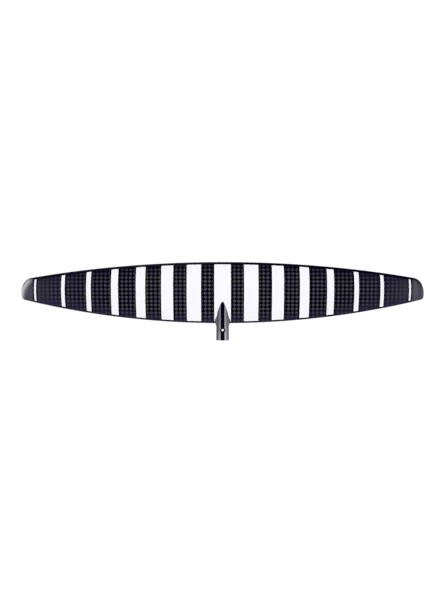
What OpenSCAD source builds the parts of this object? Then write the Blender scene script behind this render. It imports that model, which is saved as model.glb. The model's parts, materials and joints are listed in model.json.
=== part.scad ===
// Front wing of a hydrofoil, with a hollow tail that slides over the nose of
// the fuselage and is held there by one countersunk screw.
// Two carbon skins are bonded over spar caps, foam cores and edge fillers,
// and a solid tip closes each end.
// Units are millimetres. +Z is the suction side, +Y points at the leading
// edge, and the origin is the centre of the socket's mouth.

/* [Planform] */
// Distance from tip to tip
span = 1075; // [900:5:1300]
// Chord at the middle of the wing
root_chord = 159; // [140:1:190]
// Chord that the tips would have with square corners
tip_chord = 51; // [42:1:70]
// Share of the taper that is taken off the leading edge
front_taper_share = 0.415; // [0.2:0.005:0.8]
// Reach of a tip's rounded front corner, along the span
tip_front_reach = 29; // [20:1:35]
// Radius of a tip's rear corner
tip_rear_round = 7; // [4:0.5:10]
// Straight edge between the two corners of a tip
tip_edge = 11.5; // [8:0.5:16]

/* [Aerofoil] */
// Thickness over chord in the middle
root_thickness = 0.12; // [0.11:0.005:0.14]
// Thickness over chord at the tips
tip_thickness = 0.1; // [0.09:0.005:0.13]
// Height of the camber line over the chord
camber = 0.03; // [0.02:0.005:0.04]
// Place of the highest camber, from the leading edge
camber_place = 0.4; // [0.3:0.05:0.5]
// Half of the wing's thickness along its sharp edges
edge_half = 0.25; // [0.2:0.05:0.4]

/* [Bend] */
// How far the tips hang below the middle
droop = 32; // [0:1:60]
// Extra drop at the very tip
tip_curl = 6; // [0:0.5:10]
// Length of span over which the tip curls
curl_length = 45; // [30:1:80]

/* [Laminate] */
// Thickness of a skin at the middle
skin_root = 1.2; // [0.8:0.1:1.4]
// Thickness of a skin at the tips
skin_tip = 0.7; // [0.5:0.1:1]
// Thickness of a spar cap at the middle
cap_root = 2; // [1:0.1:2.5]
// Thickness of a spar cap at its ends
cap_tip = 0.8; // [0.4:0.1:1]
// Half of the bond line where the skins come together
bond_half = 0.05; // [0.05:0.01:0.1]

/* [Socket] */
// Width of the hole for the fuselage nose
socket_w = 22; // [18:0.5:23]
// Height of that hole
socket_h = 15; // [12:0.5:15.5]
// Corner radius of that hole
socket_r = 5.2; // [4.6:0.1:5.6]
// Depth of the hole, from the mouth to its end wall
socket_depth = 76; // [60:1:78]
// Wall of the socket tube
tube_wall = 1.8; // [1.2:0.1:2]
// Thickness of the end wall in the tube
end_wall = 4; // [3:0.5:6]

/* [Tail] */
// How far the tail stands out behind the trailing edge
tail_length = 44; // [40:1:50]
// Width of the tail at the trailing edge
tail_w = 32.2; // [31.6:0.1:33]
// Width of the tail at its mouth
mouth_w = 33; // [32:0.1:36]
// Height of the tail's flat top over the socket's axis
tail_top = 13.8; // [13:0.1:15]
// Depth of the tail's belly under that axis
tail_bottom = 12; // [11.6:0.1:13]
// Height of the crest's tip over that axis
crest_top = 11.7; // [11.4:0.1:12]
// Width of the fillet between the tail and the trailing edge
root_fillet = 4; // [2:0.5:6]

/* [Screw] */
// Distance of the screw from the mouth
screw_y = 26; // [20:1:30]
// Clearance hole for an M6 screw
screw_d = 6.6; // [6.4:0.1:7]
// Countersink at the surface
sink_d = 12.4; // [12:0.1:12.8]
// Diameter of a bush's stem, through the tube's wall
stem_d = 11; // [10:0.1:11.4]
// Diameter of a bush's head, in the fairing
head_d = 14; // [13.4:0.1:15]
// Height of the upper bush's rim over the socket's axis
seat_top = 11.8; // [11.4:0.1:12]

/* [Stripes] */
// Centres of the stripes, to each side
stripe_places = [74, 143, 212, 280, 349, 418, 495];
// Widths of those stripes
stripe_widths = [37, 31, 24.5, 18.5, 12.5, 9.5, 5.5];
// Width of the stripe in the middle
centre_stripe_w = 43; // [30:1:60]
// Bare edge ahead of a stripe
stripe_front_gap = 6.5; // [4:0.5:10]
// Bare edge behind a stripe
stripe_rear_gap = 4.5; // [3:0.5:8]
// Thickness of the white film
film = 0.15; // [0.1:0.05:0.3]

/* [Hidden] */

round_fn = 64;
cut = 1;
half_span = span / 2;
taper = root_chord - tip_chord;
tip_front_depth = tip_chord - tip_rear_round - tip_edge;

// The wing's chord plane lies a little above the socket's axis.
wing_z = 1;
droop_power = 2.5;

// Stations along the span: the root, the long wing and the tip.
root_end = 40;
tip_start = half_span - 35;
bays = 10;
tip_steps = 5;
x_root = [0, root_end / 2, root_end];
x_bays = [for (i = [1:bays]) root_end + (tip_start - root_end) * i / bays];
x_tip = [for (i = [1:tip_steps]) tip_start + (half_span - tip_start) * sin(90 * i / tip_steps)];
x_inner = concat(x_root, x_bays);
x_half = concat(x_inner, x_tip);

// Lines along the chord, as shares of it, and where one piece ends on them.
s_nose = [0, 0.004, 0.015, 0.035, 0.065];
s_front = [0.065, 0.1, 0.16, 0.24];
s_spar = [0.24, 0.32, 0.4];
s_rear = [0.4, 0.48, 0.56, 0.64, 0.72, 0.8, 0.87, 0.93];
s_tail = [0.93, 0.97, 1];
s_all = concat(s_nose, tail_of(s_front), tail_of(s_spar), tail_of(s_rear), tail_of(s_tail));
s_film = [for (s = s_all) if (s >= s_nose[2]) s];

tube_w = socket_w + 2 * tube_wall;
tube_h = socket_h + 2 * tube_wall;
tube_r = socket_r + tube_wall;
tube_end = socket_depth + end_wall;
sink_depth = (sink_d - screw_d) / 2;
bush_sink = 0.1;
screw_reach = 20;
stripe_count = len(stripe_places);

carbon = [0.07, 0.07, 0.1];
plain_carbon = [0.16, 0.15, 0.2];
foam = [0.86, 0.8, 0.62];
filler = [0.2, 0.2, 0.21];
dark_metal = [0.12, 0.12, 0.14];
white_film = [0.96, 0.96, 0.97];

function tail_of(list) = [for (i = [1:1:len(list) - 1]) list[i]];
function reversed(list) = [for (i = [len(list) - 1:-1:0]) list[i]];
function both_sides(list) = concat([for (x = reversed(tail_of(list))) -x], list);
function blend(a, b, t) = a + (b - a) * t;

// Planform: two parabolas, closed at each tip by a quarter ellipse in front
// and a quarter circle behind.
function outboard(x) = abs(x) / half_span;
function quarter_drop(t) = 1 - sqrt(1 - pow(max(0, min(1, t)), 2));
function front_y(x) = tail_length + root_chord
    - taper * front_taper_share * pow(outboard(x), 2)
    - tip_front_depth * quarter_drop(1 - (half_span - abs(x)) / tip_front_reach);
function rear_y(x) = tail_length
    + taper * (1 - front_taper_share) * pow(outboard(x), 2)
    + tip_rear_round * quarter_drop(1 - (half_span - abs(x)) / tip_rear_round);
function chord(x) = front_y(x) - rear_y(x);
function chord_y(x, s) = front_y(x) - s * chord(x);

// Height of the wing's chord plane along the span.
function bend_z(x) = wing_z
    - droop * pow(outboard(x), droop_power)
    - tip_curl * pow(max(0, 1 - (half_span - abs(x)) / curl_length), 2);

// Four-digit aerofoil: the camber line and half of the thickness.
function camber_line(s) = s < camber_place
    ? camber / pow(camber_place, 2) * (2 * camber_place * s - s * s)
    : camber / pow(1 - camber_place, 2) * (1 - 2 * camber_place + 2 * camber_place * s - s * s);
function half_profile(s) = 5 * (0.2969 * sqrt(s) - 0.126 * s
    - 0.3516 * pow(s, 2) + 0.2843 * pow(s, 3) - 0.1015 * pow(s, 4));
function thickness(x) = blend(root_thickness, tip_thickness, outboard(x));
function middle_z(x, s) = bend_z(x) + chord(x) * camber_line(s);
function half_z(x, s) = edge_half + chord(x) * thickness(x) * half_profile(s);

// Inside of the skins, and the inner face of the spar caps.
function skin(x) = blend(skin_root, skin_tip, outboard(x));
function inner_half(x, s) = max(half_z(x, s) - skin(x), bond_half);
function cap(x) = blend(cap_root, cap_tip, outboard(x));

top_of_wing = function(x, s) middle_z(x, s) + half_z(x, s);
top_of_film = function(x, s) middle_z(x, s) + half_z(x, s) + film;
under_top_skin = function(x, s) middle_z(x, s) + inner_half(x, s);
under_top_cap = function(x, s) middle_z(x, s) + inner_half(x, s) - cap(x);
over_low_cap = function(x, s) middle_z(x, s) - inner_half(x, s) + cap(x);
over_low_skin = function(x, s) middle_z(x, s) - inner_half(x, s);
bottom_of_wing = function(x, s) middle_z(x, s) - half_z(x, s);

// A solid between two heights, over the stations xs and the chord lines ss.
// Neighbouring solids share their facets, so they meet face to face.
module slab(xs, ss, low, high) {
    n = len(xs);
    m = len(ss);
    under = n * m;
    points = [
        for (height = [high, low])
            for (x = xs)
                for (s = ss)
                    [x, chord_y(x, s), height(x, s)]
    ];
    cells = [
        for (i = [0:n - 2])
            for (j = [0:m - 2])
                [i * m + j, (i + 1) * m + j, (i + 1) * m + j + 1, i * m + j + 1,
                 xs[i] + xs[i + 1] < 0]
    ];
    lids = [
        for (c = cells)
            for (t = c[4] ? [[0, 1, 3], [1, 2, 3]] : [[0, 1, 2], [0, 2, 3]])
                [for (k = t) c[k]]
    ];
    floors = [for (t = lids) [t[0] + under, t[2] + under, t[1] + under]];
    ends = [
        for (i = [0:n - 2])
            for (e = [[(i + 1) * m, i * m], [i * m + m - 1, (i + 1) * m + m - 1]])
                [e[0], e[1], e[1] + under, e[0] + under]
    ];
    sides = [
        for (j = [0:m - 2])
            for (e = [[j, j + 1], [(n - 1) * m + j + 1, (n - 1) * m + j]])
                [e[0], e[1], e[1] + under, e[0] + under]
    ];
    polyhedron(points, concat(lids, floors, ends, sides));
}

// Right-hand pieces are built, and left-hand ones are their mirror images.
module on_side(side) {
    if (side > 0) children();
    else mirror([1, 0, 0]) children();
}

// Rounded rectangle across the socket's axis, from the mouth inwards.
module socket_prism(w, h, r, from, to) {
    translate([0, to, 0])
        rotate([90, 0, 0])
            linear_extrude(height = to - from)
                union() {
                    square([w - 2 * r, h], center = true);
                    square([w, h - 2 * r], center = true);
                    for (x = [-1, 1])
                        for (y = [-1, 1])
                            translate([x * (w / 2 - r), y * (h / 2 - r)])
                                circle(r = r, $fn = round_fn);
                }
}

module tube_space() {
    socket_prism(tube_w, tube_h, tube_r, -cut, tube_end);
}

module screw_column(d, from, to) {
    translate([0, screw_y, from])
        cylinder(h = to - from, d = d, $fn = round_fn);
}

// The tail and its fairing, as sections across the socket's axis. The top
// drops to the crest's tip and sinks into the wing there, ahead of the tube,
// and the belly fades out further on.
belly_end = 156;
crest_end = 100;
nose_w = 6;
tail_y = [0, 12, screw_y, 38, tail_length, 50, 58, 66, 74, 82, 90, crest_end, 112, 124, 136, 148, belly_end];
function body_half_w(y) = lookup(y, [
    [0, mouth_w / 2], [36, tail_w / 2], [90, tail_w / 2 - 0.7], [crest_end, 10], [124, 8.4], [belly_end, nose_w / 2]
]);
function body_top(y) = lookup(y, [
    [0, tail_top], [70, tail_top], [82, blend(crest_top, tail_top, 0.3)],
    [90, crest_top], [crest_end, crest_top], [112, crest_top - 3], [belly_end, 4]
]);
function body_bottom(y) = lookup(y, [
    [0, tail_bottom], [tail_length, tail_bottom], [90, tail_bottom - 0.6], [112, 9.8], [134, 7.2], [belly_end, 3.4]
]);
function fillet_at(y) = root_fillet * lookup(y, [
    [38, 0], [tail_length, 0.6], [50, 1], [58, 0.9], [66, 0.4], [74, 0]
]);

// Half of a section, clockwise from the top, as shares of width and height.
section_w = [0.22, 0.64, 0.94, 1, 1, 1, 1, 0.84, 0.6, 0.3];
section_h = [1, 0.78, 0.43, 0.33, 0.2, -0.2, -0.46, -0.76, -0.93, -1];
section_fillet = [0, 0, 0, 0.5, 1, 1, 0, 0, 0, 0];
function body_point(y, k) = let (h = section_h[k])
    [body_half_w(y) * section_w[k] + fillet_at(y) * section_fillet[k],
     y,
     h > 0 ? h * body_top(y) : h * body_bottom(y)];

module tail_body() {
    half = len(section_w);
    ring = 2 * half;
    last = len(tail_y) - 1;
    points = [
        for (y = tail_y)
            for (k = [0:ring - 1])
                let (p = body_point(y, k < half ? k : ring - 1 - k))
                    k < half ? p : [-p[0], p[1], p[2]]
    ];
    walls = [
        for (i = [0:last - 1])
            for (k = [0:ring - 1])
                let (
                    a = i * ring + k,
                    b = i * ring + (k + 1) % ring,
                    right = k < half
                )
                for (t = right
                    ? [[b, a, a + ring], [b, a + ring, b + ring]]
                    : [[b, a, b + ring], [a, a + ring, b + ring]])
                    t
    ];
    mouth = [for (k = [ring - 1:-1:0]) k];
    nose = [for (k = [0:ring - 1]) last * ring + k];
    polyhedron(points, concat(walls, [mouth, nose]));
}

module wing_middle() {
    slab(both_sides([for (x = x_half) if (x < 100) x]), s_all, bottom_of_wing, top_of_wing);
}

module tail_half(up) {
    difference() {
        intersection() {
            tail_body();
            translate([-root_end, -cut, up ? wing_z : wing_z - root_end])
                cube([2 * root_end, belly_end + 2 * cut, root_end]);
        }
        wing_middle();
        tube_space();
        if (up) screw_column(head_d, 0, screw_reach);
        else screw_column(head_d, -screw_reach, 0);
    }
}

module upper_skin() {
    color(carbon)
        difference() {
            slab(both_sides(x_inner), s_all, under_top_skin, top_of_wing);
            tube_space();
        }
}

module lower_skin() {
    color(carbon)
        difference() {
            slab(both_sides(x_inner), s_all, bottom_of_wing, over_low_skin);
            tube_space();
        }
}

module upper_spar_cap() {
    color(filler)
        slab(both_sides(x_inner), s_spar, under_top_cap, under_top_skin);
}

module lower_spar_cap() {
    color(filler)
        slab(both_sides(x_inner), s_spar, over_low_skin, over_low_cap);
}

module spar_core(side) {
    color(foam)
        on_side(side)
            slab(x_inner, s_spar, over_low_cap, under_top_cap);
}

module front_core(side) {
    color(foam)
        on_side(side)
            slab(x_inner, s_front, over_low_skin, under_top_skin);
}

module rear_core(side) {
    color(foam)
        on_side(side)
            slab(concat([root_end], x_bays), s_rear, over_low_skin, under_top_skin);
}

module leading_edge_filler() {
    color(filler)
        slab(both_sides(x_inner), s_nose, over_low_skin, under_top_skin);
}

module trailing_edge_strip(side) {
    color(filler)
        on_side(side)
            slab(concat([root_end], x_bays), s_tail, over_low_skin, under_top_skin);
}

// Solid moulded tip, bonded to the ends of the skins, caps and cores.
module wing_tip(side) {
    color(carbon)
        on_side(side)
            slab(concat([tip_start], x_tip), s_all, bottom_of_wing, top_of_wing);
}

// Solid block between the skins, from the spar to the trailing edge.
module root_block() {
    color(filler)
        difference() {
            slab(both_sides(x_root), concat(s_rear, tail_of(s_tail)), over_low_skin, under_top_skin);
            tube_space();
        }
}

module socket_tube() {
    color(plain_carbon)
        difference() {
            socket_prism(tube_w, tube_h, tube_r, 0, tube_end);
            socket_prism(socket_w, socket_h, socket_r, -cut, tube_end + cut);
            screw_column(stem_d, -tube_h, tube_h);
        }
}

module socket_end_wall() {
    color(filler)
        socket_prism(socket_w, socket_h, socket_r, socket_depth, tube_end);
}

module upper_fairing() {
    color(plain_carbon)
        tail_half(true);
}

module lower_fairing() {
    color(plain_carbon)
        tail_half(false);
}

// Bush that carries the head of the screw, at the bottom of a round recess.
module upper_screw_seat() {
    color(dark_metal)
        difference() {
            union() {
                screw_column(stem_d, socket_h / 2, seat_top);
                screw_column(head_d, tube_h / 2, seat_top);
            }
            screw_column(screw_d, 0, screw_reach);
            translate([0, screw_y, seat_top - sink_depth])
                cylinder(h = sink_depth + cut, d1 = screw_d, d2 = sink_d + 2 * cut, $fn = round_fn);
        }
}

module lower_screw_bush() {
    foot = bush_sink - body_bottom(screw_y);
    color(dark_metal)
        difference() {
            union() {
                screw_column(stem_d, foot, -socket_h / 2);
                screw_column(head_d, foot, -tube_h / 2);
            }
            screw_column(screw_d, -screw_reach, 0);
        }
}

// Outline of a stripe seen from above. Its ends keep the same distance from
// the wing's edges, and its long sides run straight back.
stripe_points = 4;
module stripe_outline(from, to) {
    xs = [for (i = [0:stripe_points]) blend(from, to, i / stripe_points)];
    translate([0, 0, -span])
        linear_extrude(height = 2 * span)
            polygon(concat(
                [for (x = xs) [x, rear_y(x) + stripe_rear_gap]],
                [for (x = reversed(xs)) [x, front_y(x) - stripe_front_gap]]
            ));
}

// The stations on both sides of a stretch of the span, and those within it.
function stations_over(from, to) = [
    for (i = [0:len(x_half) - 1])
        if (x_half[max(0, i - 1)] < to && x_half[min(len(x_half) - 1, i + 1)] > from) x_half[i]
];

module stripe(side, number) {
    from = stripe_places[number - 1] - stripe_widths[number - 1] / 2;
    to = from + stripe_widths[number - 1];
    color(white_film)
        on_side(side)
            intersection() {
                slab(stations_over(from, to), s_film, top_of_wing, top_of_film);
                stripe_outline(from, to);
            }
}

// The stripe in the middle runs up to both sides of the tail's crest.
module stripe_centre() {
    reach = centre_stripe_w / 2;
    color(white_film)
        difference() {
            intersection() {
                slab(both_sides(stations_over(0, reach)), s_film, top_of_wing, top_of_film);
                stripe_outline(-reach, reach);
            }
            tail_body();
        }
}

upper_skin();
lower_skin();
upper_spar_cap();
lower_spar_cap();
spar_core(-1);  // spar_core_left
spar_core(1);  // spar_core_right
front_core(-1);  // front_core_left
front_core(1);  // front_core_right
rear_core(-1);  // rear_core_left
rear_core(1);  // rear_core_right
leading_edge_filler();
trailing_edge_strip(-1);  // trailing_edge_strip_left
trailing_edge_strip(1);  // trailing_edge_strip_right
wing_tip(-1);  // wing_tip_left
wing_tip(1);  // wing_tip_right
root_block();
socket_tube();
socket_end_wall();
upper_fairing();
lower_fairing();
upper_screw_seat();
lower_screw_bush();
stripe_centre();
for (number = [1:stripe_count]) {
    stripe(-1, number);
    stripe(1, number);
}
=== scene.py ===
"""Looks of a hydrofoil front wing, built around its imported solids.

Lengths are in metres. +Z is the suction side, +Y points at the leading edge,
and the origin is the centre of the socket's mouth, as in the solids.
"""

import json
import math

import bmesh
import bpy
from mathutils import Matrix, Vector


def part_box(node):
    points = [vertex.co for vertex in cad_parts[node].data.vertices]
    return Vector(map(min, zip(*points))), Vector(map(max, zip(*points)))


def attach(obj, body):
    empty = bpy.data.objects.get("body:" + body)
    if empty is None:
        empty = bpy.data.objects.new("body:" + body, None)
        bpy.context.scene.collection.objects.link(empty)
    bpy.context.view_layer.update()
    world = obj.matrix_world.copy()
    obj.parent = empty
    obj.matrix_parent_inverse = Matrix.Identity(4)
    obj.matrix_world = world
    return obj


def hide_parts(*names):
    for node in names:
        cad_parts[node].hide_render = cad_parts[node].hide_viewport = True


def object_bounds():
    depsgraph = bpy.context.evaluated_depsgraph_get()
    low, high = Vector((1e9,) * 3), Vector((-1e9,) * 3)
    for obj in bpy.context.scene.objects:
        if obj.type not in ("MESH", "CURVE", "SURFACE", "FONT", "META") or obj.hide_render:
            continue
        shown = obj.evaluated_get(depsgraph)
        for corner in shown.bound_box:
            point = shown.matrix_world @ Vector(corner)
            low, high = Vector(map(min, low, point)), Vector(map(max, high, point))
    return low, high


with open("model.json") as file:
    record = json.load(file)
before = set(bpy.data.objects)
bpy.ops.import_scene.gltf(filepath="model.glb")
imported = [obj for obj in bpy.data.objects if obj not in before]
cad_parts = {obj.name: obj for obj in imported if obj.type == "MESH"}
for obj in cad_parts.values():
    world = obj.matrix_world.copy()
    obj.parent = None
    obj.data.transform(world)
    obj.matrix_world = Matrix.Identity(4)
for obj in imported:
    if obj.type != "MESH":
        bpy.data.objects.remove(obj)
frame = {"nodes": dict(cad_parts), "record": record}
cad_low, cad_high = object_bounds()

MM = 0.001

# ---------------------------------------------------------------- the wing's form
# The formulas are those of the solids. What a solid's box can tell comes from
# the frame.
HALF_SPAN = cad_high.x
ROOT_LOW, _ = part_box("root_block")
TIP_LOW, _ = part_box("wing_tip_right")
_, TUBE_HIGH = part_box("socket_tube")
SEAT_LOW, SEAT_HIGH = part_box("upper_screw_seat")

TAIL_LENGTH = ROOT_LOW[1]
ROOT_CHORD = cad_high.y - TAIL_LENGTH
TIP_CHORD = 51 * MM
FRONT_TAPER_SHARE = 0.415
TIP_FRONT_REACH = 29 * MM
TIP_REAR_ROUND = 7 * MM
TIP_EDGE = 11.5 * MM
TIP_FRONT_DEPTH = TIP_CHORD - TIP_REAR_ROUND - TIP_EDGE
TAPER = ROOT_CHORD - TIP_CHORD

ROOT_THICKNESS = 0.12
TIP_THICKNESS = 0.10
CAMBER = 0.03
CAMBER_PLACE = 0.4
EDGE_HALF = 0.25 * MM
BOND_HALF = 0.05 * MM
SKIN_ROOT = 1.2 * MM
SKIN_TIP = 0.7 * MM

WING_Z = 1 * MM
DROOP = 32 * MM
DROOP_POWER = 2.5
TIP_CURL = 6 * MM
CURL_LENGTH = 45 * MM

STRIPE_COUNT = 7
STRIPE_FRONT_GAP = 6.5 * MM
STRIPE_REAR_GAP = 4.5 * MM


def mix(a, b, t):
    return a + (b - a) * t


def outboard(x):
    """0 in the middle of the wing and 1 at its tips."""
    return abs(x) / HALF_SPAN


def quarter_drop(t):
    """Drop of a quarter ellipse: 0 before it starts and 1 at its end."""
    return 1 - math.sqrt(1 - max(0.0, min(1.0, t)) ** 2)


def front_y(x):
    parabola = TAPER * FRONT_TAPER_SHARE * outboard(x) ** 2
    corner = TIP_FRONT_DEPTH * quarter_drop(1 - (HALF_SPAN - abs(x)) / TIP_FRONT_REACH)
    return TAIL_LENGTH + ROOT_CHORD - parabola - corner


def rear_y(x):
    parabola = TAPER * (1 - FRONT_TAPER_SHARE) * outboard(x) ** 2
    corner = TIP_REAR_ROUND * quarter_drop(1 - (HALF_SPAN - abs(x)) / TIP_REAR_ROUND)
    return TAIL_LENGTH + parabola + corner


def chord(x):
    return front_y(x) - rear_y(x)


def bend_z(x):
    curl = max(0.0, 1 - (HALF_SPAN - abs(x)) / CURL_LENGTH)
    return WING_Z - DROOP * outboard(x) ** DROOP_POWER - TIP_CURL * curl ** 2


def camber_line(s):
    """Height of the camber line for a chord of one, where s is the share of
    the chord from the leading edge."""
    p = CAMBER_PLACE
    if s < p:
        return CAMBER / p ** 2 * (2 * p * s - s * s)
    return CAMBER / (1 - p) ** 2 * (1 - 2 * p + 2 * p * s - s * s)


def half_profile(s):
    """Half of a four-digit aerofoil's thickness, for a thickness of one."""
    return 5 * (0.2969 * math.sqrt(s) - 0.126 * s - 0.3516 * s ** 2 + 0.2843 * s ** 3 - 0.1015 * s ** 4)


def middle_z(x, s):
    return bend_z(x) + chord(x) * camber_line(s)


def half_z(x, s):
    thickness = mix(ROOT_THICKNESS, TIP_THICKNESS, outboard(x))
    return EDGE_HALF + chord(x) * thickness * half_profile(s)


def inner_half(x, s):
    skin = mix(SKIN_ROOT, SKIN_TIP, outboard(x))
    return max(half_z(x, s) - skin, BOND_HALF)


def top_of_wing(x, s):
    return middle_z(x, s) + half_z(x, s)


def under_top_skin(x, s):
    return middle_z(x, s) + inner_half(x, s)


def over_low_skin(x, s):
    return middle_z(x, s) - inner_half(x, s)


def bottom_of_wing(x, s):
    return middle_z(x, s) - half_z(x, s)


# ---------------------------------------------------------------- meshes
SHARP_ANGLE = math.radians(32)
# Keeps a rounding error from adding one more station
ROUNDING = 1e-6


def new_object(name, verts, faces):
    mesh = bpy.data.meshes.new(name)
    mesh.from_pydata(verts, [], faces)
    mesh.validate()
    mesh.update()
    piece = bpy.data.objects.new(name, mesh)
    bpy.context.scene.collection.objects.link(piece)
    return piece


def smooth(piece):
    for face in piece.data.polygons:
        face.use_smooth = True
    piece.data.set_sharp_from_angle(angle=SHARP_ANGLE)


def store(piece, name, values):
    """Keeps one number for each point, for a material to read."""
    attribute = piece.data.attributes.new(name, "FLOAT", "POINT")
    attribute.data.foreach_set("value", values)


def edge_gaps(piece):
    """Stores how far each point is behind the leading edge and ahead of the
    trailing edge."""
    points = [v.co for v in piece.data.vertices]
    store(piece, "front_gap", [front_y(p.x) - p.y for p in points])
    store(piece, "rear_gap", [p.y - rear_y(p.x) for p in points])


def slab(name, top, under, skip=lambda i, j: False):
    """A closed solid between two grids of points, each a list of columns.
    The cells that skip() names are left out."""
    n, m = len(top), len(top[0])
    verts = [point for grid in (top, under) for column in grid for point in column]
    kept = {(i, j) for i in range(n - 1) for j in range(m - 1) if not skip(i, j)}
    below = n * m
    faces = []
    for i, j in sorted(kept):
        a, b, c, d = i * m + j, i * m + j + 1, (i + 1) * m + j + 1, (i + 1) * m + j
        faces.append((a, b, c, d))
        faces.append((a + below, d + below, c + below, b + below))
        for (p, q), beside in (
            ((a, b), (i - 1, j)), ((b, c), (i, j + 1)), ((c, d), (i + 1, j)), ((d, a), (i, j - 1)),
        ):
            if beside not in kept:
                faces.append((q, p, p + below, q + below))
    return new_object(name, verts, faces)


def shell(name, xs, ss, low, high, skip=lambda x, s: False):
    """A solid between two heights of the wing, over stations xs and chord
    shares ss. Cells whose middle skip() names are left out."""

    def grid(height):
        return [[(x, front_y(x) - s * chord(x), height(x, s)) for s in ss] for x in xs]

    def skip_cell(i, j):
        return skip((xs[i] + xs[i + 1]) / 2, (ss[j] + ss[j + 1]) / 2)

    return slab(name, grid(high), grid(low), skip_cell)


def spread(low, high, step):
    """Even stations from low to high, at most a step apart."""
    count = max(1, math.ceil((high - low) / step - ROUNDING))
    return [mix(low, high, i / count) for i in range(count + 1)]


def joined(*parts):
    """One list from several, each of which starts where the last one ended."""
    out = list(parts[0])
    for part in parts[1:]:
        out += part[1:]
    return out


def both_sides(xs):
    return [-x for x in reversed(xs[1:])] + xs


CHORD_ROWS = 56
STATION_STEP = 6 * MM
TIP_STEPS = 14
TIP_START = TIP_LOW[0]
TUBE_HALF = TUBE_HIGH[0]
TUBE_SHARE = (front_y(0) - TUBE_HIGH[1]) / chord(0)


def chord_rows():
    """Chord shares that lie closer toward both edges. The one nearest to the
    front end of the socket tube is moved onto it."""
    shares = [(1 - math.cos(math.pi * k / CHORD_ROWS)) / 2 for k in range(CHORD_ROWS + 1)]
    nearest = min(range(len(shares)), key=lambda k: abs(shares[k] - TUBE_SHARE))
    shares[nearest] = TUBE_SHARE
    return shares


ROWS = chord_rows()
STATIONS = joined(spread(0, TUBE_HALF, STATION_STEP), spread(TUBE_HALF, TIP_START, STATION_STEP))
TIP_STATIONS = [
    TIP_START + (HALF_SPAN - TIP_START) * math.sin(math.pi / 2 * k / TIP_STEPS)
    for k in range(TIP_STEPS + 1)
]


def in_socket(x, s):
    """The notch in the skins that the socket tube passes through."""
    return abs(x) < TUBE_HALF and s > TUBE_SHARE


# ---------------------------------------------------------------- the tail's form
TAIL_W = 32.2 * MM
MOUTH_W = 33 * MM
TAIL_TOP = TUBE_HIGH[2] + 4.5 * MM
TAIL_BOTTOM = TUBE_HIGH[2] + 2.7 * MM
CREST_TOP = TUBE_HIGH[2] + 2.55 * MM
ROOT_FILLET = 3.7 * MM
BELLY_END = 156 * MM
CREST_END = 100 * MM
NOSE_W = 6 * MM
SCREW_Y = (SEAT_LOW[1] + SEAT_HIGH[1]) / 2
HEAD_R = (SEAT_HIGH[0] - SEAT_LOW[0]) / 2

# Each key is a place along Y and the value there. The sections are a little
# finer than those of the solids.
HALF_W_KEYS = [
    (0, MOUTH_W / 2), (36 * MM, TAIL_W / 2), (90 * MM, TAIL_W / 2 - 0.7 * MM),
    (CREST_END, 10 * MM), (124 * MM, 8.4 * MM), (BELLY_END, NOSE_W / 2),
]
TOP_KEYS = [
    (0, TAIL_TOP), (70 * MM, TAIL_TOP), (82 * MM, mix(CREST_TOP, TAIL_TOP, 0.3)), (90 * MM, CREST_TOP),
    (CREST_END, CREST_TOP), (112 * MM, CREST_TOP - 3 * MM), (BELLY_END, 4 * MM),
]
BOTTOM_KEYS = [
    (0, TAIL_BOTTOM), (TAIL_LENGTH, TAIL_BOTTOM), (90 * MM, TAIL_BOTTOM - 0.6 * MM),
    (112 * MM, 9.8 * MM), (134 * MM, 7.2 * MM), (BELLY_END, 3.4 * MM),
]
FILLET_KEYS = [
    (33 * MM, 0), (38 * MM, 0.15 * ROOT_FILLET), (TAIL_LENGTH, 0.8 * ROOT_FILLET),
    (48 * MM, ROOT_FILLET), (56 * MM, 0.72 * ROOT_FILLET), (64 * MM, 0.25 * ROOT_FILLET), (72 * MM, 0),
]
# The corners of the right half of a section, from its top down: shares of the
# half width, of the height or the depth there, and of the fillet
SECTION_W = [0.285, 0.49, 0.73, 0.95, 1, 1, 1, 1, 0.84, 0.6, 0.3]
SECTION_H = [1, 0.872, 0.69, 0.41, 0.33, 0.2, -0.2, -0.46, -0.76, -0.93, -1]
SECTION_FILLET = [0, 0, 0, 0.2, 0.85, 1, 1, 0.5, 0.15, 0, 0]
RING_STEP = 2 * MM
CORNER_STEPS = 4
# How far a corner's rounding reaches, and its greatest share of the side
# beside it
CORNER_REACH = 0.7 * MM
CORNER_SHARE = 0.4


def smooth_lookup(y, keys):
    """Runs through the keys on a curve with no overshoot, and keeps the first
    and the last value beyond them."""
    if y <= keys[0][0]:
        return keys[0][1]
    if y >= keys[-1][0]:
        return keys[-1][1]
    slopes = [(b[1] - a[1]) / (b[0] - a[0]) for a, b in zip(keys, keys[1:])]
    tangents = [slopes[0]]
    for p, q in zip(slopes, slopes[1:]):
        tangents.append(0.0 if p * q <= 0 else 2 * p * q / (p + q))
    tangents.append(slopes[-1])
    k = max(i for i in range(len(keys) - 1) if keys[i][0] <= y)
    (y0, v0), (y1, v1) = keys[k], keys[k + 1]
    h = y1 - y0
    t = (y - y0) / h
    return (
        v0 * (1 + 2 * t) * (1 - t) ** 2
        + tangents[k] * h * t * (1 - t) ** 2
        + v1 * t * t * (3 - 2 * t)
        - tangents[k + 1] * h * t * t * (1 - t)
    )


def section_corner(y, k):
    fillet = smooth_lookup(y, FILLET_KEYS) * SECTION_FILLET[k]
    width = smooth_lookup(y, HALF_W_KEYS) * SECTION_W[k] + fillet
    keys = TOP_KEYS if SECTION_H[k] > 0 else BOTTOM_KEYS
    return Vector((width, y, SECTION_H[k] * smooth_lookup(y, keys)))


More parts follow.
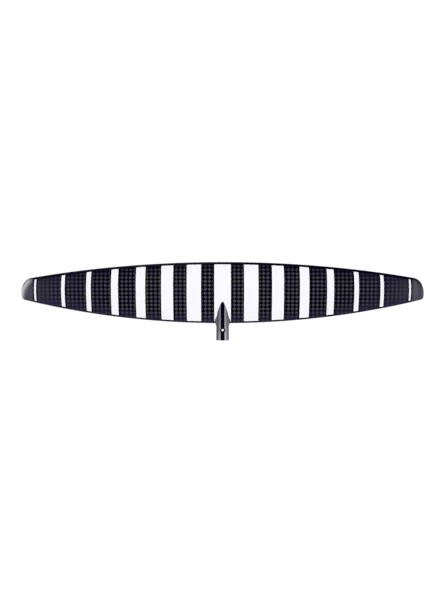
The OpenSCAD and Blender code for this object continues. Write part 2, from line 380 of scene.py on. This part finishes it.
def section_ring(y):
    """One section of the tail, with each corner rounded off a little."""
    right = [section_corner(y, k) for k in range(len(SECTION_W))]
    left = [Vector((-p.x, p.y, p.z)) for p in reversed(right)]
    corners = right + left
    ring = []
    for i, p in enumerate(corners):
        before = corners[i - 1] - p
        after = corners[(i + 1) % len(corners)] - p
        reach = min(CORNER_REACH, before.length * CORNER_SHARE, after.length * CORNER_SHARE)
        a, b = p + before.normalized() * reach, p + after.normalized() * reach
        for k in range(CORNER_STEPS + 1):
            t = k / CORNER_STEPS
            ring.append(a.lerp(p, t).lerp(p.lerp(b, t), t))
    return ring


def outward(piece):
    """Turns every face of a closed mesh outward."""
    work = bmesh.new()
    work.from_mesh(piece.data)
    bmesh.ops.recalc_face_normals(work, faces=work.faces)
    work.to_mesh(piece.data)
    work.free()


def tail_body(name):
    """The whole tail, crest and belly as one closed solid along Y."""
    ys = spread(0, BELLY_END, RING_STEP)
    rings = [section_ring(y) for y in ys]
    count = len(rings[0])
    verts = [p for ring in rings for p in ring]
    faces = []
    for i in range(len(ys) - 1):
        for k in range(count):
            a, b = i * count + k, i * count + (k + 1) % count
            faces.append((a, b, b + count, a + count))
    faces.append(tuple(reversed(range(count))))
    faces.append(tuple(range((len(ys) - 1) * count, len(ys) * count)))
    piece = new_object(name, verts, faces)
    outward(piece)
    return piece


# ---------------------------------------------------------------- cutting
WELD = 0.01 * MM
TUBE_CORNER = 7 * MM
# How far a tool stands past the face that it cuts, and how far it reaches
PAST = 2 * MM
TOOL_REACH = 60 * MM
# Half of the stretch of wing that is cut from the fairings
WING_REACH = 66 * MM


def box_object(name, low, high):
    verts = [(x, y, z) for x in (low[0], high[0]) for y in (low[1], high[1]) for z in (low[2], high[2])]
    faces = [(0, 1, 3, 2), (4, 6, 7, 5), (0, 4, 5, 1), (2, 3, 7, 6), (0, 2, 6, 4), (1, 5, 7, 3)]
    piece = new_object(name, verts, faces)
    outward(piece)
    return piece


def prism(name, outline, axis, low, high):
    """A closed prism of an outline of (u, v) points along Y or Z."""
    place = {
        "y": lambda u, v, t: (u, t, v),
        "z": lambda u, v, t: (u, v, t),
    }[axis]
    n = len(outline)
    verts = [place(u, v, t) for t in (low, high) for u, v in outline]
    faces = [(i, (i + 1) % n, (i + 1) % n + n, i + n) for i in range(n)]
    faces += [tuple(reversed(range(n))), tuple(range(n, 2 * n))]
    piece = new_object(name, verts, faces)
    outward(piece)
    return piece


def round_rectangle(w, h, r, steps=16):
    points = []
    for quarter, (cx, cz) in enumerate(((1, 1), (-1, 1), (-1, -1), (1, -1))):
        for k in range(steps + 1):
            angle = math.pi / 2 * (quarter + k / steps)
            x = cx * (w / 2 - r) + r * math.cos(angle)
            z = cz * (h / 2 - r) + r * math.sin(angle)
            points.append((x, z))
    return points


def circle_points(x, y, r, steps=64):
    return [
        (x + r * math.cos(2 * math.pi * k / steps), y + r * math.sin(2 * math.pi * k / steps))
        for k in range(steps)
    ]


def cut(piece, tool, operation="DIFFERENCE"):
    """Applies one exact boolean and removes the tool."""
    modifier = piece.modifiers.new("cut", "BOOLEAN")
    modifier.operation = operation
    modifier.solver = "EXACT"
    modifier.object = tool
    graph = bpy.context.evaluated_depsgraph_get()
    result = bpy.data.meshes.new_from_object(piece.evaluated_get(graph))
    piece.modifiers.clear()
    old = piece.data
    piece.data = result
    bpy.data.meshes.remove(old)
    bpy.data.objects.remove(tool)


def clean(piece):
    """Leaves a cut mesh with no needless points and with triangles only."""
    work = bmesh.new()
    work.from_mesh(piece.data)
    bmesh.ops.remove_doubles(work, verts=work.verts, dist=WELD)
    bmesh.ops.dissolve_verts(work, verts=[v for v in work.verts if len(v.link_edges) == 2])
    bmesh.ops.triangulate(work, faces=work.faces)
    work.to_mesh(piece.data)
    work.free()


def fairing(name, up):
    """Upper or lower half of the tail, cut to sit on the wing and the tube."""
    piece = tail_body(name)
    low_z, high_z = (WING_Z, TOOL_REACH) if up else (-TOOL_REACH, WING_Z)
    half = box_object("half", (-TOOL_REACH, -PAST, low_z), (TOOL_REACH, BELLY_END + PAST, high_z))
    cut(piece, half, "INTERSECT")
    middle = both_sides([x for x in STATIONS if x < WING_REACH])
    cut(piece, shell("wing_middle", middle, ROWS, bottom_of_wing, top_of_wing))
    tube = round_rectangle(2 * TUBE_HIGH[0], 2 * TUBE_HIGH[2], TUBE_CORNER)
    cut(piece, prism("tube", tube, "y", -PAST, TUBE_HIGH[1]))
    screw = circle_points(0, SCREW_Y, HEAD_R)
    cut(piece, prism("screw", screw, "z", 0 if up else -TOOL_REACH, TOOL_REACH if up else 0))
    clean(piece)
    return piece


# ---------------------------------------------------------------- stripes
KEYLINE = 2.6 * MM
FILM = 0.15 * MM
# How deep the underside of the film is sunk into the skin
SUNK = 0.3 * FILM
# Narrow rows and columns that keep the corners of the white area square
HAIR = 0.25 * MM
COLUMN_STEP = 3 * MM
STRIPE_ROWS = 72
# Shares of a stripe's distance from the middle of the wing: how far both of
# its ends bow inboard, and how much further out its rear end is than its front
STRIPE_BOW = 0.0021
STRIPE_SLANT = 0.0020


def on_stripe(x, y):
    """The point of the upper skin where a stripe's point (x, y) lies, once
    the stripe bows and slants."""
    s = (front_y(x) - y) / chord(x)
    across = x * (1 + STRIPE_BOW * (4 * s * (1 - s) - 1) + STRIPE_SLANT * (s - 0.5))
    return across, y, top_of_wing(across, s)


def stripe(name, low_x, high_x):
    """A film on the upper skin with a dark printed line round it. Its ends
    are parallel to the wing's edges. It stores how far in from the edge of
    its white area each point is."""
    columns = joined(
        [low_x - KEYLINE, low_x, low_x + HAIR],
        spread(low_x + HAIR, high_x - HAIR, COLUMN_STEP),
        [high_x - HAIR, high_x, high_x + KEYLINE],
    )
    top, under, inset = [], [], []
    for x in columns:
        first = front_y(x) - STRIPE_FRONT_GAP
        last = rear_y(x) + STRIPE_REAR_GAP
        ys = [first + KEYLINE, first]
        ys += [mix(first - HAIR, last + HAIR, k / STRIPE_ROWS) for k in range(STRIPE_ROWS + 1)]
        ys += [last, last - KEYLINE]
        points = [on_stripe(x, y) for y in ys]
        top.append([(px, py, pz + FILM) for px, py, pz in points])
        under.append([(px, py, pz - SUNK) for px, py, pz in points])
        inset += [min(x - low_x, high_x - x, first - y, y - last) for y in ys]
    piece = slab(name, top, under)
    store(piece, "inset", inset + inset)
    return piece


# ---------------------------------------------------------------- materials
class Nodes:
    """A short way to write the nodes of a material, a world or a light."""

    def __init__(self, owner):
        owner.use_nodes = True
        self.owner = owner
        self.tree = owner.node_tree
        self.shader = self.tree.nodes.get("Principled BSDF")

    def link(self, source, target):
        self.tree.links.new(source, target)

    def fill(self, socket, value):
        """Gives a socket a fixed value, or what another socket puts out."""
        if isinstance(value, (int, float, tuple)):
            socket.default_value = value
        else:
            self.link(value, socket)

    def set(self, **sockets):
        """Sets what is the same all over a surface."""
        for name, value in sockets.items():
            self.shader.inputs[name.replace("_", " ")].default_value = value

    def surface(self, colour, roughness, normal=None):
        """Links what varies over a surface."""
        self.link(colour, self.shader.inputs["Base Color"])
        self.link(roughness, self.shader.inputs["Roughness"])
        if normal:
            self.link(normal, self.shader.inputs["Normal"])

    def math(self, operation, a, b=0.0, c=0.0, clamp=False):
        node = self.tree.nodes.new("ShaderNodeMath")
        node.operation = operation
        node.use_clamp = clamp
        for socket, value in zip(node.inputs, (a, b, c)):
            self.fill(socket, value)
        return node.outputs[0]

    def times(self, *factors):
        """The product of its factors."""
        product = factors[0]
        for factor in factors[1:]:
            product = self.math("MULTIPLY", product, factor)
        return product

    def line(self, x, slope, start, clamp=False):
        """A straight line: slope times x, plus start."""
        return self.math("MULTIPLY_ADD", x, slope, start, clamp)

    def ramp(self, x, low, high, smooth_step=True):
        """0 up to low, 1 from high on, and a step between them. Low may be the
        greater of the two."""
        node = self.tree.nodes.new("ShaderNodeMapRange")
        node.interpolation_type = "SMOOTHSTEP" if smooth_step else "LINEAR"
        self.fill(node.inputs["Value"], x)
        node.inputs["From Min"].default_value = low
        node.inputs["From Max"].default_value = high
        return node.outputs["Result"]

    def colour(self, factor, a, b, blend="MIX"):
        """Colour a where factor is 0, and b blended onto it where it is 1."""
        node = self.tree.nodes.new("ShaderNodeMix")
        node.data_type = "RGBA"
        node.blend_type = blend
        colour_a, colour_b = [s for s in node.inputs if s.type == "RGBA"]
        self.fill(node.inputs["Factor"], factor)
        self.fill(colour_a, a)
        self.fill(colour_b, b)
        return next(s for s in node.outputs if s.type == "RGBA")

    def split(self, vector):
        node = self.tree.nodes.new("ShaderNodeSeparateXYZ")
        self.link(vector, node.inputs[0])
        return node.outputs

    def vector(self, x, y, z):
        node = self.tree.nodes.new("ShaderNodeCombineXYZ")
        for socket, value in zip(node.inputs, (x, y, z)):
            self.fill(socket, value)
        return node.outputs[0]

    def position(self):
        """The place on the object, in metres."""
        return self.tree.nodes.new("ShaderNodeTexCoord").outputs["Object"]

    def attribute(self, name):
        node = self.tree.nodes.new("ShaderNodeAttribute")
        node.attribute_name = name
        return node.outputs["Fac"]

    def noise(self, vector, scale=1.0, detail=3.0, roughness=0.5):
        node = self.tree.nodes.new("ShaderNodeTexNoise")
        self.link(vector, node.inputs["Vector"])
        node.inputs["Scale"].default_value = scale
        node.inputs["Detail"].default_value = detail
        node.inputs["Roughness"].default_value = roughness
        return node.outputs[0]

    def stretched(self, vector, x, y, z):
        node = self.tree.nodes.new("ShaderNodeVectorMath")
        node.operation = "MULTIPLY"
        self.link(vector, node.inputs[0])
        node.inputs[1].default_value = (x, y, z)
        return node.outputs[0]

    def bump(self, height, strength, distance):
        node = self.tree.nodes.new("ShaderNodeBump")
        node.inputs["Strength"].default_value = strength
        node.inputs["Distance"].default_value = distance
        self.link(height, node.inputs["Height"])
        return node.outputs[0]


def new_nodes(name):
    return Nodes(bpy.data.materials.new(name))


# Dark tows: dark carbon, with a navy tint that is a painted reflection
NAVY = (0.0001, 0.0001, 0.0105, 1)
# Painted sheen of the light tows, standing in for the light they reflect
OLIVE = (0.0715, 0.0655, 0.060, 1)
# Grey painted reflection haze toward the tips
TIP_HAZE = (0.0245, 0.0200, 0.043, 1)
# Painted shade of the base along the edges of the wing
EDGE_SHADE = (0.0012, 0.0007, 0.0090, 1)
# Painted purplish sheen along the trailing edge
REAR_SHEEN = (0.030, 0.0245, 0.066, 1)
# Painted pale highlight on the very ends of the tips
TIP_END_HIGHLIGHT = (0.17, 0.165, 0.18, 1)
STRAND_DARK = (0.3, 0.3, 0.3, 1)
STRAND_LIGHT = (1.7, 1.7, 1.7, 1)
WEAVE_X = 10.70 * MM
WEAVE_Y = 10.13 * MM
WEAVE_SHIFT_X = -1.5 * MM
WEAVE_SHIFT_Y = 16.9 * MM
WEAVE_STRETCH = 0.0285
TOW_DARK = -0.05
TOW_LIGHT = 0.34
# Scales of the fibres' noise, along and across a tow
FIBRE_ALONG = 0.5
FIBRE_ACROSS = 16.0
FIBRE_ROUGHNESS = 0.7
# Gaps from the front and the rear edge between which the weave comes into
# sight, and between which the painted light on its tows grows and the
# painted shade along the edges fades
FRONT_SIGHT = (4 * MM, 12 * MM)
REAR_SIGHT = (0.5 * MM, 3 * MM)
FRONT_FALLOFF = (4 * MM, 44 * MM)
REAR_FALLOFF = (-10 * MM, 30 * MM)
# How far ahead of the trailing edge the painted sheen reaches
SHEEN_REACH = 30 * MM
# Shares of the half span between which the weave flattens, a grey painted reflection haze comes in, and
# the ends get a pale painted highlight
TURNS_PLAIN = (0.8, 1.0)
TURNS_HAZY = (0.5, 1.25)
TURNS_HIGHLIT = (0.98, 1.0)
PLAIN_TONE = 0.9
PLAIN_SHARE = 0.85
SHEEN_SHARE = 0.5
END_HIGHLIGHT_SHARE = 0.9


def tow_fibres(n, u, v, z, scale_u, scale_v):
    """Streaks that run along the axis with the smaller scale."""
    place = n.vector(n.times(u, scale_u), n.times(v, scale_v), z)
    return n.noise(place, roughness=FIBRE_ROUGHNESS)


def tow_axes(n, x, y, share):
    """Two axes at 45 degrees along the tows, in tows. The weave is a little
    wider toward the tips."""
    stretch = n.line(n.times(share, share), -WEAVE_STRETCH, 1.0)
    across = n.math("DIVIDE", n.math("SUBTRACT", x, WEAVE_SHIFT_X), WEAVE_X)
    across = n.times(across, stretch)
    along = n.math("DIVIDE", n.math("SUBTRACT", y, TAIL_LENGTH + WEAVE_SHIFT_Y), WEAVE_Y)
    return n.math("ADD", across, along), n.math("SUBTRACT", across, along)


def carbon_weave():
    """Two sets of flat tows crossed at 45 degrees: one shows dark, its navy
    tint partly a painted reflection, and one shows its fibres in a painted
    sheen, brightest at the middle of each tow. The lacquer along both edges
    of the wing hides them. The painted sheen dims toward both edges and the
    tips, the base takes a painted shade along the edges, and a painted
    purplish sheen lies along the trailing edge. Toward the tips the weave runs
    out into a grey painted reflection haze, and their very ends carry a pale
    painted highlight."""
    n = new_nodes("carbon_weave")
    position = n.position()
    x, y, z = n.split(position)
    share = n.math("ABSOLUTE", n.math("DIVIDE", x, HALF_SPAN))
    u, v = tow_axes(n, x, y, share)
    cell = n.times(n.math("COSINE", n.times(u, math.pi)), n.math("COSINE", n.times(v, math.pi)))
    # The light tows carry a painted sheen, brightest at the middle of each tow and painted shade toward
    # its edges
    light = n.ramp(cell, TOW_DARK, TOW_LIGHT)
    # Toward the tips the weave flattens into an even tone, part of the painted reflection haze
    plain = n.times(n.ramp(share, *TURNS_PLAIN), PLAIN_SHARE)
    light = n.math("MULTIPLY_ADD", n.math("SUBTRACT", PLAIN_TONE, light), plain, light)
    fibre = tow_fibres(n, u, v, z, FIBRE_ALONG, FIBRE_ACROSS)
    crossing = tow_fibres(n, u, v, z, FIBRE_ACROSS, FIBRE_ALONG)
    tone = n.noise(position, 60.0, 2.0)
    front, rear = n.attribute("front_gap"), n.attribute("rear_gap")
    in_sight = n.times(n.ramp(front, *FRONT_SIGHT), n.ramp(rear, *REAR_SIGHT))
    depth = n.times(n.ramp(front, *FRONT_FALLOFF), n.ramp(rear, *REAR_FALLOFF))
    # Painted light falloff: the sheen of the light tows dims toward both edges and toward the tips
    shine = n.times(n.line(depth, 0.5, 0.5), n.line(share, -0.62, 1.14))
    tow_sheen = n.times(light, in_sight, shine, n.line(fibre, 1.4, 0.3), n.line(tone, 0.6, 0.7))
    strands = n.colour(crossing, STRAND_DARK, STRAND_LIGHT)
    # Toward the edges the dark base turns to a darker, more purple painted shade
    base = n.colour(in_sight, n.colour(depth, EDGE_SHADE, NAVY), strands, "MULTIPLY")
    woven = n.colour(tow_sheen, base, OLIVE)
    # Painted reflection haze: grey added toward the tips
    woven = n.colour(n.times(n.ramp(share, *TURNS_HAZY), in_sight), woven, TIP_HAZE, "ADD")
    # Painted sheen: a lighter purplish tone toward the trailing edge
    woven = n.colour(n.times(n.ramp(rear, SHEEN_REACH, 0, False), SHEEN_SHARE), woven, REAR_SHEEN)
    # Painted highlight: the very ends of the tips turn pale
    woven = n.colour(n.times(n.ramp(share, *TURNS_HIGHLIT), END_HIGHLIGHT_SHARE), woven, TIP_END_HIGHLIGHT)
    relief = n.times(n.math("ABSOLUTE", cell), in_sight)
    relief = n.line(n.times(fibre, light), 0.3, relief)
    n.surface(woven, n.line(light, -0.12, 0.5), n.bump(relief, 0.15, 0.1 * MM))
    n.set(Specular_IOR_Level=0.0, Coat_Weight=1.0, Coat_Roughness=0.04, Coat_IOR=1.5)
    return n.owner


PRINT_DARK = (0.0004, 0.0004, 0.002, 1)
FILM_RIM = (0.985, 0.985, 0.985, 1)
FILM_FIELD = ((0.925, 0.92, 0.96, 1), (0.95, 0.945, 0.975, 1))
PRINT_EDGE = (0.0, 0.2 * MM)
FIELD_EDGE = (2.2 * MM, 3.0 * MM)


def white_film():
    """White film under the lacquer, with its dark printed edge. The white
    is a little cooler and greyer inside its outermost few millimetres."""
    n = new_nodes("white_film")
    position = n.position()
    inset = n.attribute("inset")
    field = n.colour(n.noise(position, 14.0, 2.0), *FILM_FIELD)
    white = n.colour(n.ramp(inset, *FIELD_EDGE), FILM_RIM, field)
    printed = n.colour(n.ramp(inset, *PRINT_EDGE), PRINT_DARK, white)
    n.surface(printed, n.line(n.noise(position, 300.0), 0.06, 0.3))
    n.set(Specular_IOR_Level=0.0, Coat_Weight=1.0, Coat_Roughness=0.04)
    return n.owner


# Tones of the tail at the crest and at the mouth: the lighter mouth is painted light
CREST_TONES = ((0.27, 0.258, 0.30, 1), (0.43, 0.416, 0.465, 1))
MOUTH_LIT_TONES = ((0.45, 0.43, 0.48, 1), (0.68, 0.66, 0.705, 1))
CREST_TO_MOUTH = (52 * MM, -6 * MM)


def plain_carbon():
    """Fibres laid along the tail: they shine like dark metal under lacquer,
    and toward the mouth their colour is painted lighter, a painted gradient of light."""
    n = new_nodes("plain_carbon")
    position = n.position()
    _, y, _ = n.split(position)
    fibre = n.noise(n.stretched(position, 1400, 60, 1400))
    cloud = n.noise(position, 45.0)
    tone = n.line(fibre, 0.6, n.times(cloud, 0.4), clamp=True)
    crest, mouth = n.colour(tone, *CREST_TONES), n.colour(tone, *MOUTH_LIT_TONES)
    # Painted light: the tail grows lighter toward the mouth
    colour = n.colour(n.ramp(y, *CREST_TO_MOUTH), crest, mouth)
    n.surface(colour, n.line(fibre, 0.1, 0.18), n.bump(fibre, 0.05, 0.05 * MM))
    n.set(Metallic=1.0, Coat_Weight=0.5, Coat_Roughness=0.05, Coat_IOR=1.5)
    return n.owner


def bare_laminate():
    """Unidirectional carbon with no lacquer, fibres along the socket."""
    n = new_nodes("bare_laminate")
    fibre = n.noise(n.stretched(n.position(), 2200, 40, 2200))
    colour = n.colour(fibre, (0.010, 0.010, 0.012, 1), (0.045, 0.045, 0.05, 1))
    n.surface(colour, n.line(fibre, 0.2, 0.4), n.bump(fibre, 0.2, 0.05 * MM))
    return n.owner


def filler():
    """Filled epoxy with chopped fibre."""
    n = new_nodes("edge_filler")
    grain = n.noise(n.position(), 900.0)
    colour = n.colour(grain, (0.02, 0.02, 0.022, 1), (0.06, 0.06, 0.062, 1))
    n.surface(colour, n.line(grain, 0.2, 0.55))
    return n.owner


def foam():
    """Closed cells, as a cut through the core shows them."""
    n = new_nodes("core_foam")
    cells = n.noise(n.position(), 1500.0, 2.0)
    colour = n.colour(cells, (0.62, 0.54, 0.34, 1), (0.8, 0.72, 0.5, 1))
    n.surface(colour, n.line(cells, 0.1, 0.85), n.bump(cells, 0.4, 0.1 * MM))
    return n.owner


def dark_metal():
    """Black anodised aluminium with the fine marks of turning."""
    n = new_nodes("dark_metal")
    grain = n.noise(n.stretched(n.position(), 600, 600, 5000), detail=2.0)
    colour = n.colour(grain, (0.012, 0.012, 0.016, 1), (0.05, 0.05, 0.056, 1))
    n.surface(colour, n.line(grain, 0.15, 0.3))
    n.set(Metallic=0.6)
    return n.owner


MATERIALS = {
    "carbon_weave": carbon_weave(),
    "white_film": white_film(),
    "plain_carbon": plain_carbon(),
    "unidirectional_carbon": bare_laminate(),
    "edge_filler": filler(),
    "core_foam": foam(),
    "dark_metal": dark_metal(),
}


def dress(piece, slot_name):
    piece.data.materials.clear()
    piece.data.materials.append(MATERIALS[slot_name])


def finish_piece(piece, slot_name, *nodes):
    smooth(piece)
    dress(piece, slot_name)
    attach(piece, "root")
    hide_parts(*nodes)


# ---------------------------------------------------------------- the pieces
def build_skins():
    for name, low, high in (
        ("upper_skin", under_top_skin, top_of_wing),
        ("lower_skin", bottom_of_wing, over_low_skin),
    ):
        piece = shell(name + "_smooth", both_sides(STATIONS), ROWS, low, high, in_socket)
        edge_gaps(piece)
        finish_piece(piece, "carbon_weave", name)


def build_tips():
    for side in ("left", "right"):
        xs = TIP_STATIONS if side == "right" else [-x for x in reversed(TIP_STATIONS)]
        piece = shell(f"wing_tip_{side}_smooth", xs, ROWS, bottom_of_wing, top_of_wing)
        edge_gaps(piece)
        finish_piece(piece, "carbon_weave", f"wing_tip_{side}")


def build_fairings():
    for name, up in (("upper_fairing", True), ("lower_fairing", False)):
        piece = fairing(name + "_smooth", up)
        finish_piece(piece, "plain_carbon", name)


def build_stripes():
    names = ["stripe_centre"] + [
        f"stripe_{side}_{k}" for side in ("left", "right") for k in range(1, STRIPE_COUNT + 1)
    ]
    for name in names:
        low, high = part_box(name)
        piece = stripe(name + "_film", low[0], high[0])
        if name == "stripe_centre":
            cut(piece, tail_body("crest"))
            clean(piece)
        finish_piece(piece, "white_film", name)


def dress_solids():
    """The solids whose shape is already right keep it and get a finish."""
    slots = {row["node"]: row["material_slot"] for row in frame["record"]["subparts"]}
    for node, solid in frame["nodes"].items():
        dress(solid, slots[node])


build_skins()
build_tips()
build_fairings()
build_stripes()
dress_solids()


# ---------------------------------------------------------------- the studio
# What the gloss mirrors: the strength of each thing, and the stretches of the
# world's axes, each from -1 to 1, over which it fades in. Lengths that follow
# are in metres.
CEILING = 0.014
BACK = 0.008
BACK_FROM = (0.02, -0.15)
SIDE_BOX = 1.38
SIDE_BOX_EDGE = (0.69, 0.79)
SIDE_BOX_FOOT = (0.25, 0.70)
SIDE_BOX_FLOOR = 0.21
SIDE_BOX_FRONT = (0.75, 0.3)
LEFT_SHARE = 0.72
LEFT_TO_RIGHT = (-0.2, 0.2)
WALL = 0.52
WALL_TOP = (0.6, 0.2)
WALL_SIDE = (0.12, -0.12)
WALL_FRONT = (0.15, 0.4)
CEILING_FROM = (0.6, 0.9)
# Strengths of a side box between which its pale light turns blue
TINT_FROM = (0.3, 0.0)
DIM_BLUE = (0.72, 0.69, 1.0, 1)
DEEP_BLUE = (0.05, 0.03, 1.0, 1)
PALE = (0.985, 0.98, 1.0, 1)
WHITE = (1, 1, 1, 1)

LIGHT_HEIGHT = 2.4
LIGHT_SIZE = (3.0, 1.6)
LIGHT_POWER = 71.2
PANEL_PLACE = (-1.03, 0.19, 0.10)
PANEL_AIM = (-0.53, 0.13, -0.03)
PANEL_SIZE = (0.83, 0.475)
PANEL_SLANT = math.radians(-30)
PANEL_POWER = 10.2
# Where the panel's light fades in from each edge, as shares of its two sides
PANEL_FADES = (((0.0, 0.35), (1.0, 0.65)), ((0.05, 0.35), (1.0, 0.55)))

CAMERA_HEIGHT = 1.3
CAMERA_X = -1.5 * MM
CAMERA_Y = 104.3 * MM
LENS = 30.0
SENSOR = 36.0
CLIP_END = 100

FLOOR_HALF = 30.0
FLOOR_GAP = 0.1 * MM
FLOOR_GREY = (0.05, 0.05, 0.05, 1)


def build_camera():
    data = bpy.data.cameras.new("camera")
    data.lens = LENS
    data.sensor_width = SENSOR
    data.clip_end = CLIP_END
    camera = bpy.data.objects.new("camera", data)
    camera.location = (CAMERA_X, CAMERA_Y, CAMERA_HEIGHT)
    bpy.context.scene.collection.objects.link(camera)
    bpy.context.scene.camera = camera


def build_floor():
    """A floor that glows evenly, so that it stays white under the wing."""
    z = cad_low.z - FLOOR_GAP
    corners = [(FLOOR_HALF * x, FLOOR_HALF * y, z) for x, y in ((-1, -1), (1, -1), (1, 1), (-1, 1))]
    floor = new_object("floor", corners, [(0, 1, 2, 3)])
    n = new_nodes("floor")
    n.set(Base_Color=FLOOR_GREY, Roughness=1.0, Specular_IOR_Level=0.0)
    n.set(Emission_Color=WHITE, Emission_Strength=1.0)
    floor.data.materials.append(n.owner)
    floor.visible_glossy = False


def build_world():
    """A plain white room to the eye. What the gloss mirrors is a dim ceiling
    of deep blue, a long soft box at each side, the right one brighter, and a
    dim bluish wall at the left front."""
    world = bpy.data.worlds.new("studio")
    bpy.context.scene.world = world
    n = Nodes(world)
    x, y, z = n.split(n.tree.nodes.new("ShaderNodeTexCoord").outputs["Generated"])
    foot = n.line(n.ramp(z, *SIDE_BOX_FOOT), 1.0 - SIDE_BOX_FLOOR, SIDE_BOX_FLOOR)
    brighter = n.line(n.ramp(x, *LEFT_TO_RIGHT), 1.0 - LEFT_SHARE, LEFT_SHARE)
    side = n.ramp(n.math("ABSOLUTE", x), *SIDE_BOX_EDGE)
    side = n.times(side, foot, n.ramp(y, *SIDE_BOX_FRONT), brighter)
    wall = n.times(n.ramp(z, *WALL_TOP), n.ramp(x, *WALL_SIDE), n.ramp(y, *WALL_FRONT))
    total = n.line(side, SIDE_BOX, CEILING)
    total = n.line(wall, WALL, total)
    total = n.line(n.ramp(y, *BACK_FROM), BACK, total)
    seen = n.tree.nodes.new("ShaderNodeLightPath").outputs["Is Camera Ray"]
    dim = n.colour(n.ramp(z, *CEILING_FROM), DIM_BLUE, DEEP_BLUE)
    mirrored = n.colour(n.ramp(side, *TINT_FROM), PALE, dim)
    background = n.tree.nodes["Background"]
    n.link(n.math("MAXIMUM", total, seen), background.inputs["Strength"])
    n.link(n.colour(seen, mirrored, WHITE), background.inputs["Color"])


def area_light(name, place, aim, size, power, slant=0.0):
    data = bpy.data.lights.new(name, "AREA")
    data.shape = "RECTANGLE"
    data.size, data.size_y = size
    data.energy = power
    light = bpy.data.objects.new(name, data)
    light.location = place
    turn = (Vector(aim) - Vector(place)).to_track_quat("-Z", "Y").to_matrix()
    light.rotation_euler = (turn @ Matrix.Rotation(slant, 3, "Z")).to_euler()
    bpy.context.scene.collection.objects.link(light)
    return light


def soften(light):
    """Lets an area light fade out toward its edges."""
    n = Nodes(light.data)
    u, v, _ = n.split(n.tree.nodes.new("ShaderNodeNewGeometry").outputs["Parametric"])
    fades = [n.ramp(place, *edge) for place, edges in zip((u, v), PANEL_FADES) for edge in edges]
    n.link(n.times(*fades), n.tree.nodes["Emission"].inputs["Strength"])


def build_lights():
    """A wide, even light from above that the gloss doesn't mirror, and a
    soft panel close to the left tip that lights its rounded end alone."""
    above = area_light("overhead", (0, CAMERA_Y, LIGHT_HEIGHT), (0, CAMERA_Y, 0), LIGHT_SIZE, LIGHT_POWER)
    above.visible_glossy = False
    panel = area_light("panel", PANEL_PLACE, PANEL_AIM, PANEL_SIZE, PANEL_POWER, PANEL_SLANT)
    panel.visible_diffuse = False
    soften(panel)
    lit = bpy.data.collections.new("lit_by_panel")
    lit.objects.link(bpy.data.objects["wing_tip_left_smooth"])
    panel.light_linking.receiver_collection = lit


build_camera()
build_floor()
build_world()
build_lights()
bpy.context.scene.view_settings.view_transform = "Standard"
